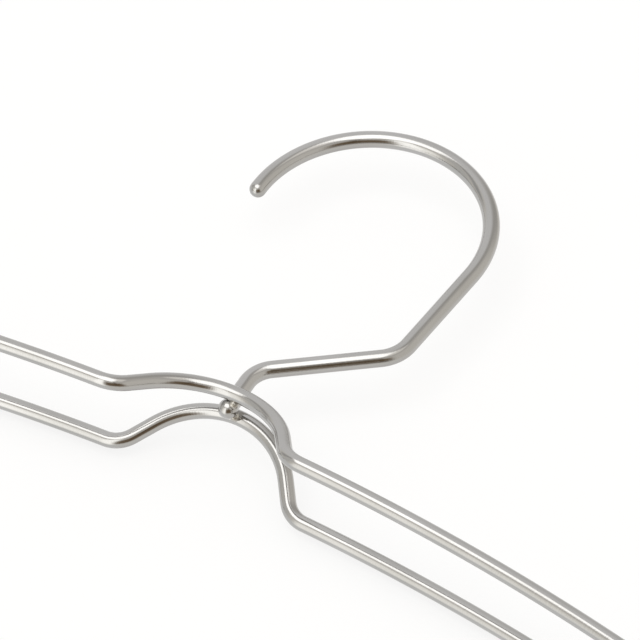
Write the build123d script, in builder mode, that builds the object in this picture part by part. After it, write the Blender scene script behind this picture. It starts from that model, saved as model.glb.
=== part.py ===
from build123d import *
from math import acos, asin, atan, atan2, cos, degrees, hypot, pi, radians, sin, tan
import os

os.makedirs("parts", exist_ok=True)

# Trouser hanger of bent stainless wire, lying on its back.
# +X runs along the rails, +Y from the clips towards the hook, +Z up out of the hanger's plane.
# The origin is the seat under the crown of the hook, where the hanger hangs on its rod.
# All pieces are drawn about the crossing of neck and arches, and moved to the seat at the end.

# Hook
hook_wire = 3.5
hook_radius = 25.2
hook_centre_height = 54.1
hook_centre_offset = 2.8
hook_tip_angle = 183.0
neck_tail = 1.45
neck_offset = 1.3
neck_ball = 4.1
first_bend_height = 9.7
first_bend_offset = 1.95
first_bend_radius = 6.3
second_bend_height = 26.9
second_bend_reach = 21.0
second_bend_radius = 7.6

# Rails: one closed loop of wire, with an arch over the neck in each long side
rail_wire = 3.2
rail_loop_length = 320.0
rail_half_gap = 8.8
bow_radius = 495.0
arch_height = 13.5
arch_rise_angle = 55.0
arch_foot_reach = 23.1
arch_foot_radius = 6.4
neck_gap = 0.05

# Weld between the neck's tail and each arch
weld_diameter = 1.9
weld_set_back = 1.3

# Runner: a folded sleeve round both rails, with two cheeks down to the pivot pin
sheet = 1.2
runner_width = 24.4
runner_height = 8.0
runner_bend_radius = 1.2
rail_play = 0.3
panel_gap = 0.5
clip_end_gap = 17.0
pin_drop = 13.0
cheek_tip_radius = 4.6

# Pivot pin, a rivet
pin_diameter = 3.0
pin_play = 0.05
rivet_head_diameter = 5.4
rivet_head_height = 1.2

# Jaws, pressed from sheet
side_play = 0.2
jaw_width = 34.0
jaw_corner_radius = 3.0
jaw_shoulder_height = 8.0
jaw_shoulder_rest = 0.1
jaw_shoulder_radius = 3.0
ear_length = 12.0
ear_radius = 3.2
ear_bend_radius = 0.9
ear_relief = 0.8
grip_drop = 31.0
grip_height = 10.5
belly_drop = 14.0
belly_bulge = 1.6
belly_start_drop = 8.0
jaw_bend_radius = 3.0
lever_width = 16.0
lever_rail_gap = 0.4
lever_flare_height = 5.5
lever_shoulder_radius = 0.5
finger_length = 10.0
finger_corner_radius = 5.0
finger_inset = 0.3
grip_bead_radius = 0.8
grip_bead_length = 10.4
grip_bead_pitch = 2.2
grip_beads = 3

# Torsion spring on the pin
spring_wire = 1.2
spring_pin_gap = 0.5
spring_turns = 5
spring_turn_gap = 0.5
spring_seat_gap = 0.25
spring_leg = 8.0
spring_leg_margin = 1.5

# Rubber shoe over the tip of each jaw
shoe_gap = 0.3
shoe_face = 1.6
shoe_wall = 1.0
shoe_overlap = 9.4
shoe_corner_radius = 1.2
shoe_groove = 0.7
shoe_groove_pitch = 1.9
shoe_grooves = 4

cut_overrun = 5.0
same_place = 0.01
along_rails = Vector(1, 0, 0)

hook_wire_radius = hook_wire / 2
rail_wire_radius = rail_wire / 2


# Hook: tail and neck, slope, straight rise and crown, in the plane between the rails
hook_centre = Vector(-hook_centre_offset, hook_centre_height)
first_bend = Vector(-first_bend_offset, first_bend_height)
second_bend = Vector(second_bend_reach, second_bend_height)
rise = hook_centre - second_bend
rise_length = (rise.length**2 - hook_radius**2) ** 0.5
rise_heading = atan2(rise.Y, rise.X) - asin(hook_radius / rise.length)
rise_end = second_bend + Vector(cos(rise_heading), sin(rise_heading)) * rise_length
crown_start_angle = degrees(rise_heading) - 90
neck_start = Vector(-neck_offset, -neck_tail)

with BuildPart() as hook:
    with BuildLine() as hook_path:
        FilletPolyline(
            neck_start,
            first_bend,
            second_bend,
            rise_end,
            radius=[first_bend_radius, second_bend_radius],
        )
        CenterArc(hook_centre, hook_radius, crown_start_angle, hook_tip_angle - crown_start_angle)
    with BuildSketch(Plane(hook_path.wire() @ 0, z_dir=hook_path.wire() % 0)):
        Circle(hook_wire_radius)
    sweep()
    with Locations(hook_path.wire() @ 1):
        Sphere(hook_wire_radius)
    with Locations(neck_start):
        Sphere(neck_ball / 2)
hook.part.label = "hook"


# Rail loop. The right half is swept from the crown of the upper arch, down its leg, along the
# bowed bar, round the end bend and back to the crown of the lower arch, then mirrored.
crown_half_gap = hook_wire_radius + neck_gap + rail_wire_radius
arch_lean = atan((rail_half_gap - crown_half_gap) / arch_height)
rise_angle = radians(arch_rise_angle)
foot_angle = asin(arch_foot_reach / bow_radius)
end_angle = asin((rail_loop_length / 2 - rail_wire_radius) / hypot(bow_radius, rail_half_gap))
end_angle = end_angle - atan(rail_half_gap / bow_radius)

down_the_arch = Vector(0, -cos(arch_lean), sin(arch_lean))
down_the_leg = along_rails * cos(rise_angle) + down_the_arch * sin(rise_angle)
bar_heading = Vector(cos(foot_angle), -sin(foot_angle), 0)
foot_turn = acos(bar_heading.dot(down_the_leg))
foot_tangent = arch_foot_radius * tan(foot_turn / 2)
bow_centre_y = -arch_height - foot_tangent * sin(foot_angle) - bow_radius * cos(foot_angle)

leg_foot_x = arch_foot_reach - foot_tangent * cos(foot_angle)
arch_slant = arch_height / cos(arch_lean)
arch_radius = (leg_foot_x * sin(rise_angle) - arch_slant * cos(rise_angle)) / (1 - cos(rise_angle))
crown = Vector(0, 0, crown_half_gap)
leg_top = crown + along_rails * (arch_radius * sin(rise_angle))
leg_top = leg_top + down_the_arch * (arch_radius * (1 - cos(rise_angle)))
leg_foot = Vector(leg_foot_x, -arch_height, rail_half_gap)
leg_end = leg_foot - down_the_leg * foot_tangent
bar_start = leg_foot + bar_heading * foot_tangent
bar_end = Vector(
    bow_radius * sin(end_angle), bow_centre_y + bow_radius * cos(end_angle), rail_half_gap
)
end_heading = Vector(cos(end_angle), -sin(end_angle), 0)


def below(point):
    return Vector(point.X, point.Y, -point.Z)


with BuildPart() as rail_loop:
    with BuildLine() as half_loop:
        TangentArc(crown, leg_top, tangent=along_rails)
        Line(leg_top, leg_end)
        TangentArc(leg_end, bar_start, tangent=down_the_leg)
        TangentArc(bar_start, bar_end, tangent=bar_heading)
        TangentArc(bar_end, below(bar_end), tangent=end_heading)
        TangentArc(below(bar_end), below(bar_start), tangent=-end_heading)
        TangentArc(below(bar_start), below(leg_end), tangent=-bar_heading)
        Line(below(leg_end), below(leg_top))
        TangentArc(below(leg_top), below(crown), tangent=-below(down_the_leg))
    with BuildSketch(Plane(crown, z_dir=along_rails)):
        Circle(rail_wire_radius)
    sweep()
    mirror(about=Plane.YZ)
rail_loop.part.label = "rail_loop"


# Weld beads in the two corners between the neck's tail and the arches
weld_height = crown_half_gap - rail_wire_radius + neck_gap
with BuildPart() as front_weld:
    with Locations((0, -weld_set_back, weld_height)):
        Sphere(weld_diameter / 2)
    add(hook.part, mode=Mode.SUBTRACT)
    add(rail_loop.part, mode=Mode.SUBTRACT)
with BuildPart() as back_weld:
    mirror(front_weld.part, about=Plane.XY)


# One clip, drawn about the middle of its runner: x along the rails, y towards the hook
cheek_outer = runner_width / 2
cheek_inner = cheek_outer - sheet
panel_inner = rail_half_gap + rail_wire_radius + panel_gap
panel_outer = panel_inner + sheet
pin_radius = pin_diameter / 2
bore_radius = pin_radius + pin_play
coil_radius = pin_radius + spring_pin_gap + spring_wire / 2
jaw_face = coil_radius + spring_wire / 2 + spring_seat_gap
pin_place = (-pin_drop, 0)

with BuildPart() as runner:
    with BuildSketch(Plane.XZ):
        RectangleRounded(runner_width, 2 * panel_outer, runner_bend_radius + sheet)
        RectangleRounded(
            2 * cheek_inner, 2 * panel_inner, runner_bend_radius, mode=Mode.SUBTRACT
        )
    extrude(amount=runner_height / 2, both=True)
    with BuildSketch(Plane.YZ.offset(cheek_inner)):
        Rectangle(runner_height, 2 * (panel_inner - runner_bend_radius))
        with Locations(pin_place):
            Circle(cheek_tip_radius)
        make_hull()
    extrude(amount=sheet)
    mirror(about=Plane.YZ)
    cheek_middle = cheek_inner + sheet / 2
    rail_sag = bow_radius - (bow_radius**2 - cheek_middle**2) ** 0.5
    with BuildSketch(Plane.YZ):
        with Locations((-rail_sag, rail_half_gap), (-rail_sag, -rail_half_gap)):
            Circle(rail_wire_radius + rail_play)
        with Locations(pin_place):
            Circle(bore_radius)
    extrude(amount=cheek_outer + cut_overrun, both=True, mode=Mode.SUBTRACT)

with BuildPart() as pivot_pin:
    with BuildSketch(Plane.YZ):
        with Locations(pin_place):
            Circle(pin_radius)
    extrude(amount=cheek_outer, both=True)
    with BuildSketch(Plane.XY):
        with BuildLine():
            head_base = Line((cheek_outer, -pin_drop), (cheek_outer, rivet_head_diameter / 2 - pin_drop))
            head_top = (cheek_outer + rivet_head_height, -pin_drop)
            RadiusArc(
                head_top,
                head_base @ 1,
                (rivet_head_diameter**2 / 4 + rivet_head_height**2) / (2 * rivet_head_height),
            )
            Line(head_top, head_base @ 0)
        make_face()
    revolve(axis=Axis((0, -pin_drop, 0), (1, 0, 0)))
    mirror(about=Plane.YZ)


# Pressed jaw on the upper side, its ears turned in to the pin at the given outer width
def pressed_jaw(ear_outer):
    seat_z = jaw_face + sheet / 2
    throat_z = rail_half_gap - rail_wire_radius - lever_rail_gap - sheet / 2
    finger_z = panel_outer - finger_inset - sheet / 2
    grip_z = shoe_gap / 2 + shoe_face + sheet / 2
    throat_y = rail_wire_radius + lever_rail_gap
    flare_y = throat_y + lever_flare_height
    shoulder_turn = atan2(jaw_width / 2 - ear_outer, jaw_shoulder_height)
    ear_bottom = -pin_drop - ear_length / 2 - ear_relief
    shoulder_y = ear_bottom - jaw_shoulder_rest - jaw_shoulder_radius * tan(shoulder_turn / 2)
    with BuildPart() as jaw:
        with BuildSketch(Plane.YZ):
            with BuildLine() as jaw_line:
                FilletPolyline(
                    (flare_y + finger_length, finger_z),
                    (flare_y, finger_z),
                    (throat_y, throat_z),
                    (spring_leg + spring_leg_margin - pin_drop, seat_z),
                    (-pin_drop - belly_start_drop, seat_z),
                    (-pin_drop - belly_drop, seat_z + belly_bulge),
                    (-pin_drop - grip_drop + grip_height, grip_z),
                    (-pin_drop - grip_drop, grip_z),
                    radius=jaw_bend_radius,
                )
            trace(line_width=sheet)
        extrude(amount=jaw_width / 2, both=True)
        with BuildSketch(Plane.XY):
            with BuildLine():
                finger_end = (0, flare_y + finger_length)
                grip_end = (0, -pin_drop - grip_drop)
                FilletPolyline(
                    finger_end,
                    (lever_width / 2, flare_y + finger_length),
                    (lever_width / 2, ear_length / 2 - pin_drop),
                    (ear_outer, ear_length / 2 - pin_drop),
                    radius=[finger_corner_radius, lever_shoulder_radius],
                )
                FilletPolyline(
                    (ear_outer, ear_length / 2 - pin_drop),
                    (ear_outer, shoulder_y),
                    (jaw_width / 2, shoulder_y - jaw_shoulder_height),
                    (jaw_width / 2, -pin_drop - grip_drop),
                    grip_end,
                    radius=[jaw_shoulder_radius, jaw_shoulder_radius, jaw_corner_radius],
                )
                Line(grip_end, finger_end)
            make_face()
            with Locations((ear_outer - sheet / 2, ear_bottom + ear_relief / 2)):
                Rectangle(sheet, ear_relief, mode=Mode.SUBTRACT)
            mirror(about=Plane.YZ)
        extrude(amount=panel_outer, both=True, mode=Mode.INTERSECT)
        # beads under the fingers, raised outside and hollow inside
        bead_z = finger_z + sheet / 2 + finger_inset - grip_bead_radius
        for bead_drop, bead_mode in ((0, Mode.ADD), (sheet, Mode.SUBTRACT)):
            with Locations((0, flare_y + finger_length / 2, bead_z - bead_drop)):
                with GridLocations(0, grip_bead_pitch, 1, grip_beads):
                    Cylinder(grip_bead_radius, grip_bead_length, rotation=(0, 90, 0), mode=bead_mode)
                with GridLocations(grip_bead_length, grip_bead_pitch, 2, grip_beads):
                    Sphere(grip_bead_radius, mode=bead_mode)
        for ear_start in (ear_outer - sheet, -ear_outer):
            with BuildSketch(Plane.YZ.offset(ear_start)):
                with Locations(pin_place):
                    Circle(ear_radius)
                with Locations((-pin_drop, seat_z)):
                    Rectangle(ear_length, sheet)
                make_hull()
            extrude(amount=sheet)
        bends = [
            edge
            for edge in jaw.edges().filter_by(Axis.Y)
            if abs(abs(edge.center().X) - ear_outer) < same_place
            and abs(edge.center().Z - jaw_face - sheet) < same_place
        ]
        fillet(bends, radius=ear_bend_radius)
        with BuildSketch(Plane.YZ):
            with Locations(pin_place):
                Circle(bore_radius)
        extrude(amount=cheek_outer, both=True, mode=Mode.SUBTRACT)
    return jaw.part


front_ear_outer = cheek_inner - side_play
back_ear_outer = front_ear_outer - sheet - side_play
upper_jaw_shape = pressed_jaw(front_ear_outer)
lower_jaw_shape = pressed_jaw(back_ear_outer)
with BuildPart() as front_jaw:
    add(upper_jaw_shape)
with BuildPart() as back_jaw:
    mirror(lower_jaw_shape, about=Plane.XY)


# Torsion spring: a leg down the front lever, half turns round the pin, a leg up the back lever
half_pitch = (spring_wire + spring_turn_gap) / 2
half_turns = 2 * spring_turns + 1
bow_out = hypot(coil_radius, half_pitch / 2)
with BuildPart() as spring:
    with BuildLine() as coil:
        start = Vector(-half_turns * half_pitch / 2, -pin_drop, coil_radius)
        leg_tip = start + Vector(0, spring_leg, 0)
        Line(leg_tip, start)
        for turn in range(half_turns):
            side = -1 if turn % 2 else 1
            end = Vector(start.X + half_pitch, -pin_drop, -side * coil_radius)
            middle = Vector(start.X + half_pitch / 2, -pin_drop - side * bow_out, 0)
            ThreePointArc(start, middle, end)
            start = end
        Line(start, start + Vector(0, spring_leg, 0))
    with BuildSketch(Plane(leg_tip, z_dir=(0, -1, 0))):
        Circle(spring_wire / 2)
    sweep()

# Least gap of the spring to itself, on points along its middle line
turn_samples = 36
coil_wire = coil.wire()
sample_count = round(turn_samples * coil_wire.length / (2 * bow_out * pi))
samples = [coil_wire @ (index / sample_count) for index in range(sample_count + 1)]
least = min(
    (a - b).length
    for place, a in enumerate(samples)
    for b in samples[place + round(turn_samples / 2) :]
)
print("spring's least gap to itself", least - spring_wire)


# Rubber shoe pushed over the tip of the upper jaw, grooved where it grips the cloth
def rubber_shoe(jaw_part):
    shoe_bottom = -pin_drop - grip_drop - shoe_wall
    shoe_top = -pin_drop - grip_drop + shoe_overlap
    shoe_inner = shoe_gap / 2
    shoe_outer = shoe_inner + shoe_face + sheet + shoe_wall
    middle = ((shoe_bottom + shoe_top) / 2, (shoe_inner + shoe_outer) / 2)
    with BuildPart() as shoe:
        with BuildSketch(Plane.YZ):
            with Locations(middle):
                RectangleRounded(shoe_top - shoe_bottom, shoe_outer - shoe_inner, shoe_corner_radius)
            with Locations((middle[0], shoe_inner)):
                with GridLocations(shoe_groove_pitch, 0, shoe_grooves, 1):
                    Rectangle(shoe_groove, shoe_groove, rotation=45, mode=Mode.SUBTRACT)
        extrude(amount=jaw_width / 2 + shoe_wall, both=True)
        add(jaw_part, mode=Mode.SUBTRACT)
    return shoe.part


upper_shoe_shape = rubber_shoe(upper_jaw_shape)
lower_shoe_shape = rubber_shoe(lower_jaw_shape)
with BuildPart() as front_shoe:
    add(upper_shoe_shape)
with BuildPart() as back_shoe:
    mirror(lower_shoe_shape, about=Plane.XY)


# Places: the seat of the hook at the origin, and a clip on each side of the bow
seat = Vector(-hook_centre_offset, hook_centre_height + hook_radius - hook_wire_radius)
to_seat = Location(-seat)
clip_angle = degrees(end_angle - (clip_end_gap + runner_width / 2) / bow_radius)

for name, piece in (
    ("hook", hook.part),
    ("rail_loop", rail_loop.part),
    ("front_weld", front_weld.part),
    ("back_weld", back_weld.part),
):
    placed = piece.moved(to_seat)
    placed.label = name
    export_step(placed, f"parts/{name}.step")

clip_pieces = {
    "runner": runner.part,
    "pivot_pin": pivot_pin.part,
    "front_jaw": front_jaw.part,
    "back_jaw": back_jaw.part,
    "spring": spring.part,
    "front_shoe": front_shoe.part,
    "back_shoe": back_shoe.part,
}
for side, turn in (("left", clip_angle), ("right", -clip_angle)):
    bow_centre = to_seat * Location((0, bow_centre_y, 0))
    clip_place = bow_centre * Location((0, 0, 0), (0, 0, turn)) * Location((0, bow_radius, 0))
    for name, piece in clip_pieces.items():
        placed = piece.moved(clip_place)
        placed.label = f"{side}_{name}"
        export_step(placed, f"parts/{side}_{name}.step")

bow_origin = to_seat.position + Vector(0, bow_centre_y)
print("bow centre", bow_origin, "clip angle", clip_angle)
print("foot angle", degrees(foot_angle), "end angle", degrees(end_angle))
print("arch radius", arch_radius, "arch lean", degrees(arch_lean))
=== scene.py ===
from math import acos, asin, atan, atan2, ceil, cos, hypot, pi, radians, sin, sqrt, tan

import bmesh
import bpy
from mathutils import Matrix, Vector, noise


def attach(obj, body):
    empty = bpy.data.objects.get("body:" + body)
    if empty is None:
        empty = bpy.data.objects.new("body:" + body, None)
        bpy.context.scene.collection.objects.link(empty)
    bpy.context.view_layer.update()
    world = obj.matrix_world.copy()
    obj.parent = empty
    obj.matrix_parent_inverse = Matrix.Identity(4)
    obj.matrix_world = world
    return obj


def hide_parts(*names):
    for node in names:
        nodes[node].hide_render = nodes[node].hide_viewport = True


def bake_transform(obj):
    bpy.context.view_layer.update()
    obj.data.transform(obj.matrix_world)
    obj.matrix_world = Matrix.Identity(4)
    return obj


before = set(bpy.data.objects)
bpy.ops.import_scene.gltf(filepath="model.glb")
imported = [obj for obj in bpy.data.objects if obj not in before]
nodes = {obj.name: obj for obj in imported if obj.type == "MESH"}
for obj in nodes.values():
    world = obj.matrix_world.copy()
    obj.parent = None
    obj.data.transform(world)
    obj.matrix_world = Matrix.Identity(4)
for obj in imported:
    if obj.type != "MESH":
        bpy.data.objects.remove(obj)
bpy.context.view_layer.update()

mm = 0.001
print("frame loaded,", len(nodes), "CAD nodes")

# For all pieces: points closer than the gap merge, and a fold past the angle stays sharp. The
# radius at a pole is so small that its ring merges to one point.
joining = {"mergeGap": 0.002, "sharpFrom": 38.0, "poleRadius": 0.0004}


# Node trees
def addNode(tree, kind, inputs=None, **settings):
    node = tree.nodes.new(kind)
    for key, value in settings.items():
        setattr(node, key, value)
    for key, value in (inputs or {}).items():
        socket = node.inputs[key]
        if isinstance(value, bpy.types.NodeSocket):
            tree.links.new(value, socket)
        else:
            socket.default_value = value
    return node


# A Mix node's colour sockets go by number, because its other sockets have the same names
mixFirst, mixSecond, mixResult = 6, 7, 2


def colour(code, strength=1.0):
    levels = [int(code[i:i + 2], 16) / 255 for i in (1, 3, 5)]
    levels = [v / 12.92 if v <= 0.04045 else ((v + 0.055) / 1.055) ** 2.4 for v in levels]
    return (*[v * strength for v in levels], 1.0)


def addObject(name, data):
    added = bpy.data.objects.new(name, data)
    bpy.context.scene.collection.objects.link(added)
    return added


def evaluatedMesh(carrier):
    graph = bpy.context.evaluated_depsgraph_get()
    return bpy.data.meshes.new_from_object(carrier.evaluated_get(graph), depsgraph=graph)


def hand(piece, body, slotName, *replaced):
    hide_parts(*replaced)
    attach(piece, body)


# Wire routes, as points in millimetres. The hook's and the rails' are seen from the crossing of
# neck and arches, the spring's from the middle between the rails at its clip.
def headingAt(angle):
    return Vector((cos(angle), sin(angle), 0))


def straight(start, end, spacing):
    steps = max(1, ceil((end - start).length / spacing))
    return [start.lerp(end, k / steps) for k in range(1, steps + 1)]


# A bend that leaves start along heading and curves inward
def bend(start, heading, inward, radius, turn, spacing):
    steps = max(2, ceil(radius * turn / spacing))
    angles = [turn * k / steps for k in range(1, steps + 1)]
    return [start + heading * (radius * sin(a)) + inward * (radius * (1 - cos(a))) for a in angles]


# Start and points of the bend that rounds a corner between two headings
def bendAt(corner, before, after, radius, spacing):
    turn = acos(max(-1, min(1, before.dot(after))))
    start = corner - before * (radius * tan(turn / 2))
    inward = (after - before * before.dot(after)).normalized()
    return start, bend(start, before, inward, radius, turn, spacing)


# Hook, in millimetres and degrees. The bends are corners, rounded by their radii.
hook = {
    "wire": 3.5, "crownRadius": 25.2, "centreHeight": 54.1, "centreOffset": 2.8, "tipAngle": 183.0,
    "tail": 1.45, "tailOffset": 1.3, "ball": 4.1,
    "firstBend": (-1.95, 9.7), "firstBendRadius": 6.3,
    "secondBend": (21.0, 26.9), "secondBendRadius": 7.6,
    "ringSpacing": 0.45, "ballSteps": 22, "tipSteps": 12, "facets": 40,
}
# The crossing of neck and arches, seen from the seat of the hook, which is the origin
crossing = Vector((
    hook["centreOffset"], hook["wire"] / 2 - hook["centreHeight"] - hook["crownRadius"], 0))
atCrossing = Matrix.Translation(crossing)


def hookRoute():
    spacing = hook["ringSpacing"]
    centre = Vector((-hook["centreOffset"], hook["centreHeight"], 0))
    first = Vector((*hook["firstBend"], 0))
    second = Vector((*hook["secondBend"], 0))
    reach = centre - second
    riseLength = sqrt(reach.length ** 2 - hook["crownRadius"] ** 2)
    rise = atan2(reach.y, reach.x) - asin(hook["crownRadius"] / reach.length)
    tail = Vector((-hook["tailOffset"], -hook["tail"], 0))
    neckWay = (first - tail).normalized()
    slopeWay = (second - first).normalized()
    riseWay = headingAt(rise)

    # the ball at the tail is turned with the wire: radii along its first stretch
    tubeRadius, ballRadius = hook["wire"] / 2, hook["ball"] / 2
    ballArc = pi - asin(tubeRadius / ballRadius)
    points, radii = [], []
    for k in range(hook["ballSteps"] + 1):
        along = -ballRadius * cos(ballArc * k / hook["ballSteps"])
        points.append(tail + neckWay * along)
        radii.append(sqrt(max(0.0, ballRadius ** 2 - along ** 2)))

    start, turned = bendAt(first, neckWay, slopeWay, hook["firstBendRadius"], spacing)
    run = straight(points[-1], start, spacing) + turned
    start, turned = bendAt(second, slopeWay, riseWay, hook["secondBendRadius"], spacing)
    run += straight(run[-1], start, spacing) + turned
    run += straight(run[-1], second + riseWay * riseLength, spacing)
    tipAngle = radians(hook["tipAngle"])
    crownTurn = tipAngle - (rise - pi / 2)
    towardsCentre = headingAt(rise + pi / 2)
    run += bend(run[-1], riseWay, towardsCentre, hook["crownRadius"], crownTurn, spacing)
    points += run
    radii += [tubeRadius] * len(run)

    # the domed tip
    tipWay = headingAt(tipAngle + pi / 2)
    for k in range(1, hook["tipSteps"] + 1):
        angle = pi / 2 * k / hook["tipSteps"]
        points.append(run[-1] + tipWay * (tubeRadius * sin(angle)))
        radii.append(tubeRadius * cos(angle))
    return points, radii


# Rail loop, in millimetres and degrees: two bowed rails, each with an arch that leans in to the
# neck of the hook
rail = {
    "wire": 3.2, "length": 320.0, "halfGap": 8.8, "bowRadius": 495.0,
    "archHeight": 13.5, "riseAngle": 55.0, "footReach": 23.1, "footRadius": 6.4, "neckGap": 0.05,
    "ringSpacing": 0.7, "facets": 36,
}


# The loop's points, the centre of its bow, and the angle of its ends seen from there
def railRoute():
    spacing = rail["ringSpacing"]
    halfGap, bow, archHeight = rail["halfGap"], rail["bowRadius"], rail["archHeight"]
    crownGap = hook["wire"] / 2 + rail["neckGap"] + rail["wire"] / 2
    lean = atan((halfGap - crownGap) / archHeight)
    rise = radians(rail["riseAngle"])
    footAngle = asin(rail["footReach"] / bow)
    reach = rail["length"] / 2 - rail["wire"] / 2
    endAngle = asin(reach / hypot(bow, halfGap)) - atan(halfGap / bow)
    alongRails = headingAt(0)
    downArch = Vector((0, -cos(lean), sin(lean)))
    downLeg = alongRails * cos(rise) + downArch * sin(rise)
    barWay = headingAt(-footAngle)
    tangent = rail["footRadius"] * tan(acos(barWay.dot(downLeg)) / 2)
    bowCentre = Vector((0, -archHeight - tangent * sin(footAngle) - bow * cos(footAngle), 0))
    legX = rail["footReach"] - tangent * cos(footAngle)
    archRadius = (legX * sin(rise) - archHeight / cos(lean) * cos(rise)) / (1 - cos(rise))

    # a quarter of the loop: half an arch, its foot, a bar and half of the end bend
    crown = Vector((0, 0, crownGap))
    quarter = [crown] + bend(crown, alongRails, downArch, archRadius, rise, spacing)
    foot = Vector((legX, -archHeight, halfGap))
    start, turned = bendAt(foot, downLeg, barWay, rail["footRadius"], spacing)
    quarter += straight(quarter[-1], start, spacing) + turned
    barStart = asin(quarter[-1].x / bow)
    quarter += bend(quarter[-1], headingAt(-barStart), headingAt(-barStart - pi / 2), bow,
                    endAngle - barStart, spacing)
    quarter += bend(quarter[-1], headingAt(-endAngle), Vector((0, 0, -1)), halfGap, pi / 2, spacing)

    # the loop starts at its right end and runs over both arches
    loop = quarter[::-1] + [Vector((-p.x, p.y, p.z)) for p in quarter[1:]]
    loop += [Vector((-p.x, p.y, -p.z)) for p in quarter[-2::-1]]
    loop += [Vector((p.x, p.y, -p.z)) for p in quarter[1:-1]]
    return loop, bowCentre, endAngle


# Clips, in millimetres: what places them on the rails and their springs on the pins, and how far
# they reach under the hanger's plane
clip = {"endGap": 17.0, "runnerWidth": 24.4, "pinDrop": 13.0, "pin": 3.0, "underside": 12.1}
# Torsion springs, in millimetres
coil = {
    "wire": 1.2, "pinGap": 0.5, "turns": 5, "turnGap": 0.5, "leg": 8.0,
    "ringSpacing": 0.28, "facets": 18,
}


# Half of the spring, from the tip of its leg on the front lever to the middle of the coil, and
# how far that leg stands from the middle. The other half is the same, turned half round about the
# clip's own length.
def springRoute():
    coilRadius = clip["pin"] / 2 + coil["pinGap"] + coil["wire"] / 2
    halfPitch = (coil["wire"] + coil["turnGap"]) / 2
    turned = (coil["turns"] + 0.5) * pi
    pinY = -clip["pinDrop"]
    start = Vector((-halfPitch * turned / pi, pinY, coilRadius))
    tip = start + Vector((0, coil["leg"], 0))
    points = [tip] + straight(tip, start, coil["ringSpacing"])
    steps = ceil(turned * coilRadius / coil["ringSpacing"])
    for k in range(1, steps + 1):
        angle = turned * k / steps
        points.append(Vector((
            start.x + halfPitch * angle / pi,
            pinY - coilRadius * sin(angle),
            coilRadius * cos(angle))))
    return points, -start.x


# Materials. Pitches are real millimetres, and stretches are multiples of them. One pattern leads
# from the first tint to the second and one from the low roughness to the high, each while its
# value crosses the given span. A relief is its depth in millimetres and its strength.
def openMaterial(name):
    material = bpy.data.materials.new(name)
    material.use_nodes = True
    material.node_tree.nodes.clear()
    return material, material.node_tree


def pattern(tree, attribute, pitch, stretch=(1, 1, 1), tilt=0, detail=3.0, rough=0.5):
    place = addNode(tree, "ShaderNodeAttribute", attribute_name=attribute)
    mapped = addNode(tree, "ShaderNodeMapping", {
        "Vector": place.outputs["Vector"],
        "Rotation": (radians(tilt), 0, 0),
        "Scale": [1 / (v * pitch * mm) for v in stretch],
    })
    grain = addNode(tree, "ShaderNodeTexNoise", {
        "Vector": mapped.outputs[0], "Scale": 1.0, "Detail": detail, "Roughness": rough})
    return grain.outputs["Fac"]


# Reliefs lie one on the other, the coarsest first
def closeMaterial(material, look, tintBy, roughBy, reliefs):
    tree = material.node_tree
    tintShare = addNode(tree, "ShaderNodeMapRange", {
        "Value": tintBy, "From Min": look["tintSpan"][0], "From Max": look["tintSpan"][1]})
    tint = addNode(tree, "ShaderNodeMix", {
        0: tintShare.outputs[0], mixFirst: colour(look["tints"][0]),
        mixSecond: colour(look["tints"][1])}, data_type="RGBA")
    roughness = addNode(tree, "ShaderNodeMapRange", {
        "Value": roughBy, "From Min": look["roughSpan"][0], "From Max": look["roughSpan"][1],
        "To Min": look["roughness"][0], "To Max": look["roughness"][1]})
    normal = {}
    for height, (depth, strength) in reliefs:
        relief = addNode(tree, "ShaderNodeBump", {
            "Height": height, "Distance": depth * mm, "Strength": strength, **normal})
        normal = {"Normal": relief.outputs[0]}
    surface = addNode(tree, "ShaderNodeBsdfPrincipled", {
        "Base Color": tint.outputs[mixResult], "Metallic": look["metallic"],
        "Roughness": roughness.outputs[0], **normal})
    addNode(tree, "ShaderNodeOutputMaterial", {"Surface": surface.outputs[0]})
    return material


# Drawn stainless wire, centreless ground and polished: mirrors the room, with faint slanting
# grinding rings across it. The real rings are some 0.05 mm apart, and are drawn wider to show.
polished = {
    "metallic": 1.0, "tints": ("#BDBCBB", "#B4B3B1"), "tintSpan": (0.3, 0.7),
    "roughness": (0.12, 0.19), "roughSpan": (0.12, 0.4),
    "ringPitch": 0.42, "ringStretch": (9, 9, 1), "ringTilt": 24, "ringRelief": (0.008, 1.0),
    "wavePitch": 9.0, "waveStretch": (1, 1, 2), "waveRelief": (0.02, 0.5),
}


def polishedWire():
    material, tree = openMaterial("polishedStainlessWire")
    rings = pattern(tree, "wirePlace", polished["ringPitch"],
                    stretch=polished["ringStretch"], tilt=polished["ringTilt"])
    waves = pattern(tree, "wirePlace", polished["wavePitch"],
                    stretch=polished["waveStretch"], detail=2.0)
    both = addNode(tree, "ShaderNodeMath", {0: rings, 1: waves}, operation="MULTIPLY").outputs[0]
    return closeMaterial(material, polished, waves, both, [
        (waves, polished["waveRelief"]), (rings, polished["ringRelief"])])


# Spot weld metal, brushed over by hand: duller than the wire, with frozen ripples and a straw tint
beads = {
    "metallic": 1.0, "tints": ("#C4C2BD", "#B4AFA5"), "tintSpan": (0.3, 0.7),
    "roughness": (0.34, 0.46), "roughSpan": (0.3, 0.7),
    "ripplePitch": 0.5, "rippleRelief": (0.006, 0.7),
}


def weldMetal():
    material, tree = openMaterial("brushedWeldMetal")
    ripples = pattern(tree, "wirePlace", beads["ripplePitch"], detail=2.0)
    return closeMaterial(material, beads, ripples, ripples, [(ripples, beads["rippleRelief"])])


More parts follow.
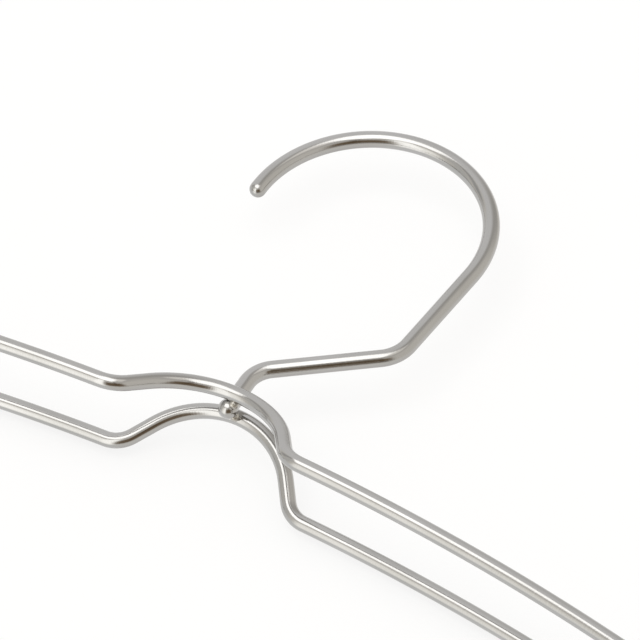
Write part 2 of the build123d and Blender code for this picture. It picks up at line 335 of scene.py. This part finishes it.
# Stainless strip, rolled, pressed and tumbled: satin, with fine rolling lines along the strip and
# a soft orange peel. The rolling lines are really finer than the render's pixels.
strip = {
    "metallic": 1.0, "tints": ("#C8C6C3", "#C1BFBC"), "tintSpan": (0.3, 0.7),
    "roughness": (0.35, 0.43), "roughSpan": (0.12, 0.42),
    "linePitch": 0.22, "lineStretch": (1, 26, 1), "lineRelief": (0.0015, 0.8),
    "peelPitch": 2.4, "peelRelief": (0.006, 0.6),
}


def pressedSteel():
    material, tree = openMaterial("tumbledStainlessStrip")
    lines = pattern(tree, "piecePlace", strip["linePitch"], stretch=strip["lineStretch"])
    peel = pattern(tree, "piecePlace", strip["peelPitch"], detail=2.0)
    both = addNode(tree, "ShaderNodeMath", {0: lines, 1: peel}, operation="MULTIPLY").outputs[0]
    return closeMaterial(material, strip, peel, both, [
        (peel, strip["peelRelief"]), (lines, strip["lineRelief"])])


# Cold headed steel rivet: turned rings on its heads, a little darker than the strip
rivet = {
    "metallic": 1.0, "tints": ("#BDBBB7", "#A3A09B"), "tintSpan": (0.3, 0.7),
    "roughness": (0.2, 0.36), "roughSpan": (0.3, 0.7),
    "ringPitch": 0.2, "ringRelief": (0.008, 0.35), "markPitch": 0.6,
}


def rivetSteel():
    material, tree = openMaterial("headedRivetSteel")
    place = addNode(tree, "ShaderNodeAttribute", attribute_name="piecePlace")
    parts = addNode(tree, "ShaderNodeSeparateXYZ", {0: place.outputs["Vector"]}).outputs
    across = addNode(tree, "ShaderNodeMath", {
        0: parts["Y"], 1: clip["pinDrop"] * mm}, operation="ADD")
    flat = addNode(tree, "ShaderNodeCombineXYZ", {"X": across.outputs[0], "Y": parts["Z"]})
    reach = addNode(tree, "ShaderNodeVectorMath", {0: flat.outputs[0]}, operation="LENGTH")
    turns = addNode(tree, "ShaderNodeMath", {
        0: reach.outputs["Value"], 1: 2 * pi / (rivet["ringPitch"] * mm)}, operation="MULTIPLY")
    rings = addNode(tree, "ShaderNodeMath", {0: turns.outputs[0]}, operation="SINE").outputs[0]
    marks = pattern(tree, "piecePlace", rivet["markPitch"])
    return closeMaterial(material, rivet, marks, marks, [(rings, rivet["ringRelief"])])


# Hard drawn stainless spring wire: bright, with die lines along the wire
drawn = {
    "metallic": 1.0, "tints": ("#B4B2AE", "#97948F"), "tintSpan": (0.3, 0.7),
    "roughness": (0.16, 0.3), "roughSpan": (0.3, 0.7),
    "linePitch": 0.12, "lineStretch": (1, 1, 30), "lineRelief": (0.006, 0.8),
}


def springSteel():
    material, tree = openMaterial("hardDrawnSpringWire")
    lines = pattern(tree, "wirePlace", drawn["linePitch"], stretch=drawn["lineStretch"], detail=2.0)
    return closeMaterial(material, drawn, lines, lines, [(lines, drawn["lineRelief"])])


# Moulded black rubber: matt, with the fine grain of a blasted mould and a greyish bloom
rubber = {
    "metallic": 0.0, "tints": ("#1B1B1C", "#2F2F30"), "tintSpan": (0.38, 0.75),
    "roughness": (0.56, 0.74), "roughSpan": (0.3, 0.7),
    "grainPitch": 0.28, "grainRelief": (0.03, 0.7), "bloomPitch": 4.5,
}


def shoeRubber():
    material, tree = openMaterial("mouldedBlackRubber")
    grain = pattern(tree, "piecePlace", rubber["grainPitch"], detail=2.0)
    bloom = pattern(tree, "piecePlace", rubber["bloomPitch"], detail=4.0, rough=0.6)
    return closeMaterial(material, rubber, bloom, grain, [(grain, rubber["grainRelief"])])


materials = {
    "polished_wire": polishedWire(), "weld_metal": weldMetal(), "pressed_steel": pressedSteel(),
    "rivet_steel": rivetSteel(), "spring_steel": springSteel(), "shoe_rubber": shoeRubber(),
}
print("materials:", ", ".join(m.name for m in materials.values()))


# Wire tree: sweeps a ring of facets along the route, as thick as the route's points say, and keeps
# the place along and round the wire for the materials
def wireTree():
    tree = bpy.data.node_groups.new("sweptWire", "GeometryNodeTree")
    for name, kind in (("Route", "Geometry"), ("Facets", "Int"), ("Wire Radius", "Float"),
                       ("Cut Angle", "Float"), ("Closed Ends", "Bool"), ("Finish", "Material")):
        tree.interface.new_socket(name, in_out="INPUT", socket_type=f"NodeSocket{kind}")
    tree.interface.new_socket("Wire", in_out="OUTPUT", socket_type="NodeSocketGeometry")
    given = addNode(tree, "NodeGroupInput").outputs
    station = addNode(tree, "GeometryNodeSplineParameter").outputs
    route = addNode(tree, "GeometryNodeStoreNamedAttribute", {
        "Geometry": given["Route"], "Name": "along", "Value": station["Length"],
    }, data_type="FLOAT", domain="POINT")
    circle = addNode(tree, "GeometryNodeCurvePrimitiveCircle", {
        "Resolution": given["Facets"], "Radius": 1.0})
    ring = addNode(tree, "GeometryNodeStoreNamedAttribute", {
        "Geometry": circle.outputs[0], "Name": "around", "Value": station["Factor"],
    }, data_type="FLOAT", domain="POINT")
    thickness = addNode(tree, "GeometryNodeInputRadius")
    swept = addNode(tree, "GeometryNodeCurveToMesh", {
        "Curve": route.outputs[0], "Profile Curve": ring.outputs[0],
        "Scale": thickness.outputs[0], "Fill Caps": given["Closed Ends"]})

    stored = [addNode(tree, "GeometryNodeInputNamedAttribute", {"Name": name}, data_type="FLOAT")
              for name in ("along", "around")]
    along, around = (node.outputs[0] for node in stored)
    angle = addNode(tree, "ShaderNodeMath", {0: around, 1: 2 * pi}, operation="MULTIPLY").outputs[0]
    place = {"Z": along}
    for axis, turned in (("X", "COSINE"), ("Y", "SINE")):
        unit = addNode(tree, "ShaderNodeMath", {0: angle}, operation=turned).outputs[0]
        place[axis] = addNode(tree, "ShaderNodeMath", {
            0: unit, 1: given["Wire Radius"]}, operation="MULTIPLY").outputs[0]
    wirePlace = addNode(tree, "ShaderNodeCombineXYZ", place)
    placed = addNode(tree, "GeometryNodeStoreNamedAttribute", {
        "Geometry": swept.outputs[0], "Name": "wirePlace", "Value": wirePlace.outputs[0],
    }, data_type="FLOAT_VECTOR", domain="POINT")

    smooth = addNode(tree, "GeometryNodeSetShadeSmooth", {"Geometry": placed.outputs[0]})
    fold = addNode(tree, "GeometryNodeInputMeshEdgeAngle").outputs["Unsigned Angle"]
    cut = addNode(tree, "FunctionNodeCompare", {
        0: fold, 1: given["Cut Angle"]}, operation="GREATER_THAN")
    sharp = addNode(tree, "GeometryNodeSetShadeSmooth", {
        "Geometry": smooth.outputs[0], "Selection": cut.outputs[0], "Shade Smooth": False,
    }, domain="EDGE")
    real = addNode(tree, "GeometryNodeRealizeInstances", {"Geometry": sharp.outputs[0]})
    finished = addNode(tree, "GeometryNodeSetMaterial", {
        "Geometry": real.outputs[0], "Material": given["Finish"]})
    addNode(tree, "NodeGroupOutput", {0: finished.outputs[0]})
    return tree


sweptWire = wireTree()


# The sizes are the piece's dictionary. Without radii, the wire is as thick as it says all along.
def sweep(name, points, sizes, finish, closed=False, radii=None, place=atCrossing):
    line = bpy.data.curves.new(name, "CURVE")
    line.dimensions = "3D"
    line.twist_mode = "MINIMUM"
    spline = line.splines.new("POLY")
    spline.points.add(len(points) - 1)
    radii = radii or [sizes["wire"] / 2] * len(points)
    for knot, point, radius in zip(spline.points, points, radii):
        knot.co = (*[v * mm for v in place @ point], 1.0)
        knot.radius = max(radius, joining["poleRadius"]) * mm
    spline.use_cyclic_u = closed
    carrier = addObject(name + "Route", line)
    maker = carrier.modifiers.new("sweptWire", "NODES")
    maker.node_group = sweptWire
    values = {
        "Facets": sizes["facets"], "Wire Radius": sizes["wire"] / 2 * mm,
        "Cut Angle": radians(joining["sharpFrom"]), "Closed Ends": not closed, "Finish": finish,
    }
    for item in sweptWire.interface.items_tree:
        if item.in_out == "INPUT" and item.name in values:
            maker[item.identifier] = values[item.name]
    mesh = evaluatedMesh(carrier)
    bpy.data.objects.remove(carrier)
    shape = bmesh.new()
    shape.from_mesh(mesh)
    bmesh.ops.remove_doubles(shape, verts=shape.verts, dist=joining["mergeGap"] * mm)
    bmesh.ops.recalc_face_normals(shape, faces=shape.faces)
    shape.to_mesh(mesh)
    shape.free()
    mesh.name = name
    return addObject(name, mesh)


hookPoints, hookRadii = hookRoute()
railPoints, bowCentre, endAngle = railRoute()
hookWire = sweep("hookWire", hookPoints, hook, materials["polished_wire"], radii=hookRadii)
hand(hookWire, "frame", "polished_wire", "hook")
railWire = sweep("railWire", railPoints, rail, materials["polished_wire"], closed=True)
hand(railWire, "frame", "polished_wire", "rail_loop")
print("wires swept:", len(hookWire.data.polygons), "and", len(railWire.data.polygons), "faces")


# Weld beads, in millimetres: lumpy drops frozen in the corners between the neck's tail and the
# arches. The lumps' places in the noise keep the two from being twins.
weld = {
    "setBack": 1.3, "size": 1.9, "lumps": 0.09, "lumpPitch": 0.9, "rounds": 4,
    "noisePlace": {"front": 3.1, "back": 7.7},
}


def weldBead(half, sign):
    radius = weld["size"] / 2
    height = hook["wire"] / 2 + 2 * rail["neckGap"]
    middle = crossing + Vector((0, -weld["setBack"], sign * height))
    noisePlace = Vector((weld["noisePlace"][half], 0, 0))
    shape = bmesh.new()
    bmesh.ops.create_icosphere(shape, subdivisions=weld["rounds"], radius=1.0)
    layer = shape.verts.layers.float_vector.new("wirePlace")
    for vert in shape.verts:
        lump = noise.noise(vert.co * (radius / weld["lumpPitch"]) + noisePlace)
        stretched = vert.co * (radius * (1 + weld["lumps"] * lump))
        vert[layer] = stretched * mm
        vert.co = (middle + stretched) * mm
    for facet in shape.faces:
        facet.smooth = True
    mesh = bpy.data.meshes.new(f"{half}Bead")
    shape.to_mesh(mesh)
    shape.free()
    mesh.materials.append(materials["weld_metal"])
    hand(addObject(f"{half}Bead", mesh), "frame", "weld_metal", f"{half}_weld")


for half, sign in (("front", 1), ("back", -1)):
    weldBead(half, sign)
print("weld beads set")

# Where each clip sits: the middle between the rails, turned with the bow
clipAngle = endAngle - (clip["endGap"] + clip["runnerWidth"] / 2) / rail["bowRadius"]
clipPlaces = {}
for side, turn in (("left", clipAngle), ("right", -clipAngle)):
    toBow = Matrix.Translation(crossing + bowCentre)
    outward = Matrix.Translation((0, rail["bowRadius"], 0))
    clipPlaces[side] = toBow @ Matrix.Rotation(turn, 4, "Z") @ outward


# Clips: the CAD's pressed and moulded shapes with the worn edges of tumbled sheet and moulded
# rubber, in millimetres. Seams that fold by fewer degrees than flatBelow lie in one flat face.
wornEdge = {"width": 0.14, "steps": 2, "flatBelow": 0.6}
# node, the body that it rides on, material slot
clipPieces = [
    ("runner", "carriage", "pressed_steel"), ("pivot_pin", "carriage", "rivet_steel"),
    ("front_jaw", "front_jaw", "pressed_steel"), ("front_shoe", "front_jaw", "shoe_rubber"),
    ("back_jaw", "back_jaw", "pressed_steel"), ("back_shoe", "back_jaw", "shoe_rubber"),
]


def softened(side, node, rider, slotName):
    name = side + node.title().replace("_", "")
    mesh = nodes[f"{side}_{node}"].data.copy()
    mesh.materials.clear()
    mesh.materials.append(materials[slotName])
    shape = bmesh.new()
    shape.from_mesh(mesh)
    bmesh.ops.remove_doubles(shape, verts=shape.verts, dist=joining["mergeGap"] * mm)
    bmesh.ops.dissolve_limit(shape, angle_limit=radians(wornEdge["flatBelow"]),
                             verts=shape.verts, edges=shape.edges)
    shape.to_mesh(mesh)
    shape.free()
    piece = addObject(name, mesh)
    rounded = piece.modifiers.new("wornEdge", "BEVEL")
    rounded.width = wornEdge["width"] * mm
    rounded.segments = wornEdge["steps"]
    rounded.limit_method = "ANGLE"
    rounded.angle_limit = radians(joining["sharpFrom"])
    rounded.harden_normals = True
    done = evaluatedMesh(piece)
    piece.modifiers.clear()
    piece.data = done
    done.name = name
    local = done.attributes.new("piecePlace", "FLOAT_VECTOR", "POINT")
    back = clipPlaces[side].inverted()
    for vert, spot in zip(done.vertices, local.data):
        spot.vector = (back @ (vert.co / mm)) * mm
    hand(piece, f"{side}_{rider}", slotName, f"{side}_{node}")


# Springs: each half twists from the middle of the coil to its leg, which lies along its lever
def springHalves(side):
    points, reach = springRoute()
    for half, way in (("front", 1), ("back", -1)):
        halfRoute = [Vector((way * p.x, p.y, way * p.z)) for p in points]
        spring = sweep(f"{side}{half.title()}Spring", halfRoute, coil, materials["spring_steel"],
                       place=clipPlaces[side])
        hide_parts(f"{side}_spring")
        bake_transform(spring)


for side in clipPlaces:
    for node, rider, slotName in clipPieces:
        softened(side, node, rider, slotName)
    springHalves(side)
    print(side, "clip dressed")


# Camera, fitted to the photograph: where it stands round the crossing, and how far that is moved
# to the right and up, in degrees and millimetres. It shows what lies within the reach, in metres.
photo = {
    "azimuth": 34.126, "elevation": 47.011, "roll": -3.733, "distance": 1268.763,
    "right": 16.264, "up": 17.058, "pixelsPerMm": 5.06, "pixels": 640, "sensor": 36.0,
    "reach": (0.05, 20),
}


def makeCamera():
    azimuth, elevation, roll = (radians(photo[k]) for k in ("azimuth", "elevation", "roll"))
    back = Vector((
        sin(azimuth) * cos(elevation), -cos(azimuth) * cos(elevation), sin(elevation)))
    flatRight = headingAt(azimuth)
    flatUp = back.cross(flatRight)
    right = flatRight * cos(roll) + flatUp * sin(roll)
    up = flatUp * cos(roll) - flatRight * sin(roll)
    data = bpy.data.cameras.new("photoCamera")
    data.sensor_width = photo["sensor"]
    data.lens = photo["distance"] * photo["pixelsPerMm"] / photo["pixels"] * photo["sensor"]
    data.clip_start, data.clip_end = photo["reach"]
    camera = addObject("photoCamera", data)
    eye = crossing + right * photo["right"] + up * photo["up"] + back * photo["distance"]
    turned = Matrix((right, up, back)).transposed().to_4x4()
    camera.matrix_world = Matrix.Translation(eye * mm) @ turned
    bpy.context.scene.camera = camera


# Studio: a pale tent under a softbox, with a bright window left of the camera. The opening that the
# camera looks through is dark and warm.
studio = {
    "tent": [   # elevation, tint, strength
        (-90, "#F4F2F0", 0.87), (-30, "#F5F3EF", 1.01), (-6, "#E9E5DD", 1.03),
        (38, "#E7E3DB", 1.04), (56, "#DFDBD5", 0.84), (68, "#E6E4E1", 1.04), (90, "#F4F3F1", 1.0),
    ],
    "backdrop": "#FFFFFF",
}
# Along X and Y, as shares of its height above the hanger. It fades out where rays turn level.
softbox = {
    "middle": (-0.115, -0.13), "half": (0.51, 0.455), "soft": (0.115, 0.175),
    "level": (0.02, 0.08), "tint": "#FFFEFC", "strength": 2.27,
}
# name: azimuth from -Y towards +X, its half width and softness, the same for the elevation, tint,
# strength
studioPatches = {
    "litFloor": (-58, 63, 40, -48, 48.5, 24, "#F6F6F5", 1.0),
    "leftWall": (-139, 38, 16, 17, 53, 13, "#F0EFEE", 1.02),
    "leftCorner": (-84.5, 8.5, 10, 32, 22.5, 11, "#C8C7C5", 0.88),
    "leftPanel": (-61, 9, 8.5, 23, 24.5, 11.5, "#E3E2DE", 0.94),
    "rightWall": (112, 38, 14, 66, 9, 8, "#DFDBD5", 1.5),
    "rearCorner": (173, 19.5, 42, 36.5, 40.5, 13, "#C5C2BD", 0.99),
    "dimWindow": (-14.5, 22, 18.5, 11.5, 28, 25.5, "#FFFDF7", 1.55),
    "window": (-8.5, 11, 4, 18.5, 35, 32, "#FFFEFA", 1.93),
    "opening": (34.5, 28.5, 19, 15.5, 21.5, 15, "#82715C", 0.94),
    "openingCore": (40.5, 3.5, 10, 30, 20, 13, "#6C5B47", 0.81),
}


# 1 where the offset is under half, whatever its sign, and 0 past it, with a soft step between
def within(tree, offset, half, soft):
    away = addNode(tree, "ShaderNodeMath", {0: offset}, operation="ABSOLUTE")
    return addNode(tree, "ShaderNodeMapRange", {
        "Value": away.outputs[0], "From Min": half + soft / 2, "From Max": half - soft / 2,
    }, interpolation_type="SMOOTHSTEP").outputs[0]


def softboxShare(tree, rayX, rayY, rayZ):
    low, high = softbox["level"]
    share = addNode(tree, "ShaderNodeMapRange", {
        "Value": rayZ, "From Min": low, "From Max": high,
    }, interpolation_type="SMOOTHSTEP").outputs[0]
    places = zip((rayX, rayY), softbox["middle"], softbox["half"], softbox["soft"])
    for way, middle, half, soft in places:
        onCeiling = addNode(tree, "ShaderNodeMath", {0: way, 1: rayZ}, operation="DIVIDE")
        off = addNode(tree, "ShaderNodeMath", {
            0: onCeiling.outputs[0], 1: middle}, operation="SUBTRACT")
        side = within(tree, off.outputs[0], half, soft)
        share = addNode(tree, "ShaderNodeMath", {
            0: share, 1: side}, operation="MULTIPLY").outputs[0]
    return share


def patchShare(tree, azimuth, elevation, sizes):
    sides = []
    for angle, (middle, half, soft) in ((azimuth, sizes[:3]), (elevation, sizes[3:])):
        off = addNode(tree, "ShaderNodeMath", {
            0: angle, 1: radians(middle)}, operation="SUBTRACT")
        turned = addNode(tree, "ShaderNodeMath", {
            0: off.outputs[0], 1: pi, 2: -pi}, operation="WRAP")
        sides.append(within(tree, turned.outputs[0], radians(half), radians(soft)))
    return addNode(tree, "ShaderNodeMath", {
        0: sides[0], 1: sides[1]}, operation="MULTIPLY").outputs[0]


# 1 for rays that show the plain white backdrop: the camera's own, and those through clear pieces.
# Mirrored rays aren't among them, because polished wire shows the tent.
def backdropRays(tree):
    light = addNode(tree, "ShaderNodeLightPath").outputs
    return addNode(tree, "ShaderNodeMath", {
        0: light["Is Camera Ray"], 1: light["Is Transmission Ray"]}, operation="MAXIMUM").outputs[0]


def makeStudio():
    world = bpy.data.worlds.new("paleTent")
    world.use_nodes = True
    bpy.context.scene.world = world
    tree = world.node_tree
    tree.nodes.clear()
    place = addNode(tree, "ShaderNodeTexCoord").outputs["Generated"]
    ray = addNode(tree, "ShaderNodeVectorMath", {0: place}, operation="NORMALIZE").outputs[0]
    rayX, rayY, rayZ = addNode(tree, "ShaderNodeSeparateXYZ", {0: ray}).outputs
    toFront = addNode(tree, "ShaderNodeMath", {0: rayY, 1: -1.0}, operation="MULTIPLY").outputs[0]
    azimuth = addNode(tree, "ShaderNodeMath", {0: rayX, 1: toFront}, operation="ARCTAN2").outputs[0]
    elevation = addNode(tree, "ShaderNodeMath", {0: rayZ}, operation="ARCSINE").outputs[0]

    # the tent's colours run from straight down to straight up
    share = addNode(tree, "ShaderNodeMapRange", {
        "Value": elevation, "From Min": -pi / 2, "From Max": pi / 2})
    tent = addNode(tree, "ShaderNodeValToRGB", {"Fac": share.outputs[0]})
    steps = tent.color_ramp.elements
    angles, tints, strengths = zip(*studio["tent"])
    for angle in angles[1:-1]:
        steps.new((angle + 90) / 180)
    for step, tint, strength in zip(steps, tints, strengths):
        step.color = colour(tint, strength)

    shown = tent.outputs[0]
    lights = [(softboxShare(tree, rayX, rayY, rayZ), softbox["tint"], softbox["strength"])]
    for *sizes, tint, strength in studioPatches.values():
        lights.append((patchShare(tree, azimuth, elevation, sizes), tint, strength))
    for share, tint, strength in lights:
        shown = addNode(tree, "ShaderNodeMix", {
            0: share, mixFirst: shown, mixSecond: colour(tint, strength),
        }, data_type="RGBA").outputs[mixResult]

    tentLight = addNode(tree, "ShaderNodeBackground", {"Color": shown})
    backdrop = addNode(tree, "ShaderNodeBackground", {"Color": colour(studio["backdrop"])})
    mixed = addNode(tree, "ShaderNodeMixShader", {
        0: backdropRays(tree), 1: tentLight.outputs[0], 2: backdrop.outputs[0]})
    addNode(tree, "ShaderNodeOutputWorld", {"Surface": mixed.outputs[0]})


# Table, in millimetres. White is the share of the plain backdrop in what the camera sees of it, so
# that the hanger's shadow stays faint.
floor = {"radius": 2600.0, "sides": 96, "restGap": 0.03, "tint": "#FDFDFD", "white": 0.78}


def makeFloor():
    mesh = bpy.data.meshes.new("tableTop")
    shape = bmesh.new()
    bmesh.ops.create_circle(
        shape, cap_ends=True, radius=floor["radius"] * mm, segments=floor["sides"])
    drop = (clip["underside"] + floor["restGap"]) * mm
    bmesh.ops.translate(shape, verts=shape.verts, vec=(0, 0, -drop))
    shape.to_mesh(mesh)
    shape.free()
    table = addObject("tableTop", mesh)
    table.visible_glossy = False   # the wires mirror the tent's own pale lower half
    paper, tree = openMaterial("matteWhitePaper")
    whiteShare = addNode(tree, "ShaderNodeMath", {
        0: backdropRays(tree), 1: floor["white"]}, operation="MULTIPLY")
    paperFace = addNode(tree, "ShaderNodeBsdfDiffuse", {"Color": colour(floor["tint"])})
    white = addNode(tree, "ShaderNodeEmission", {"Color": colour(studio["backdrop"])})
    both = addNode(tree, "ShaderNodeMixShader", {
        0: whiteShare.outputs[0], 1: paperFace.outputs[0], 2: white.outputs[0]})
    addNode(tree, "ShaderNodeOutputMaterial", {"Surface": both.outputs[0]})
    mesh.materials.append(paper)


makeCamera()
makeStudio()
makeFloor()
bpy.context.scene.view_settings.view_transform = "Standard"
print("camera, studio and table are up")
